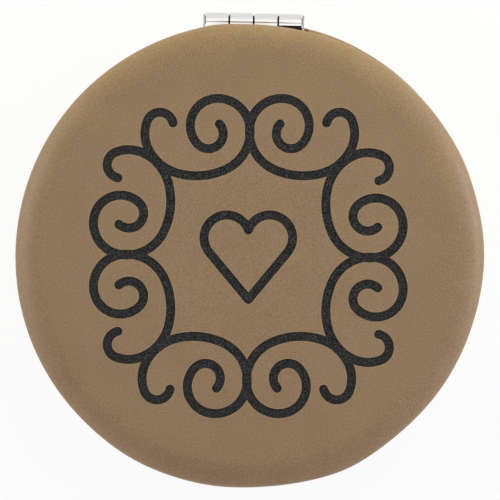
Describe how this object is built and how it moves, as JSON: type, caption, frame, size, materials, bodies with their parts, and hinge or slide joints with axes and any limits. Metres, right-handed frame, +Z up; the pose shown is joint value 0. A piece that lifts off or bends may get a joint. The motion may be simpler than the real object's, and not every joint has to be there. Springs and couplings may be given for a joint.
{
  "type": "compact mirror",
  "caption": "Round hinged pocket mirror: padded leatherette halves, scroll border engraved on the lid, folded-leaf metal hinge, flat and magnifying mirrors inside, magnetic closure.",
  "frame": {"origin": "centre of the flat underside of the base, on the surface that the closed compact lies on", "axes": "+Z up through the closed lid, +Y towards the hinge, +X to the right seen from the front"},
  "size_m": [0.0636, 0.0648, 0.0125],
  "materials": {
    "leatherette": "matte, fine grain",
    "foam": "closed-cell foam",
    "shell_plastic": "moulded",
    "ring_silver": "metallised",
    "mirror_glass": "silvered glass",
    "tape": "foam tape",
    "magnet": "nickel plated",
    "hinge_metal": "nickel plated"
  },
  "bodies": {
    "base": {"base_leatherette_cover": "leatherette", "base_foam_pad": "foam", "base_shell": "shell_plastic", "base_mirror_ring": "ring_silver", "base_mirror_tape": "tape", "base_magnet": "magnet", "base_hinge_leaf": "hinge_metal", "base_hinge_rivets": "hinge_metal", "base_magnifying_mirror": "mirror_glass", "hinge_pin": "hinge_metal"},
    "lid": {"lid_leatherette_cover": "leatherette", "lid_foam_pad": "foam", "lid_shell": "shell_plastic", "lid_mirror_ring": "ring_silver", "lid_mirror_tape": "tape", "lid_magnet": "magnet", "lid_hinge_leaf": "hinge_metal", "lid_hinge_rivets": "hinge_metal", "lid_mirror": "mirror_glass"}
  },
  "joints": [
    {"name": "lid_hinge", "type": "hinge", "parent": "base", "child": "lid", "pos_m": [0, 0.03195, 0.00625], "axis": [-1, 0, 0], "range_deg": [0, 180]}
  ]
}
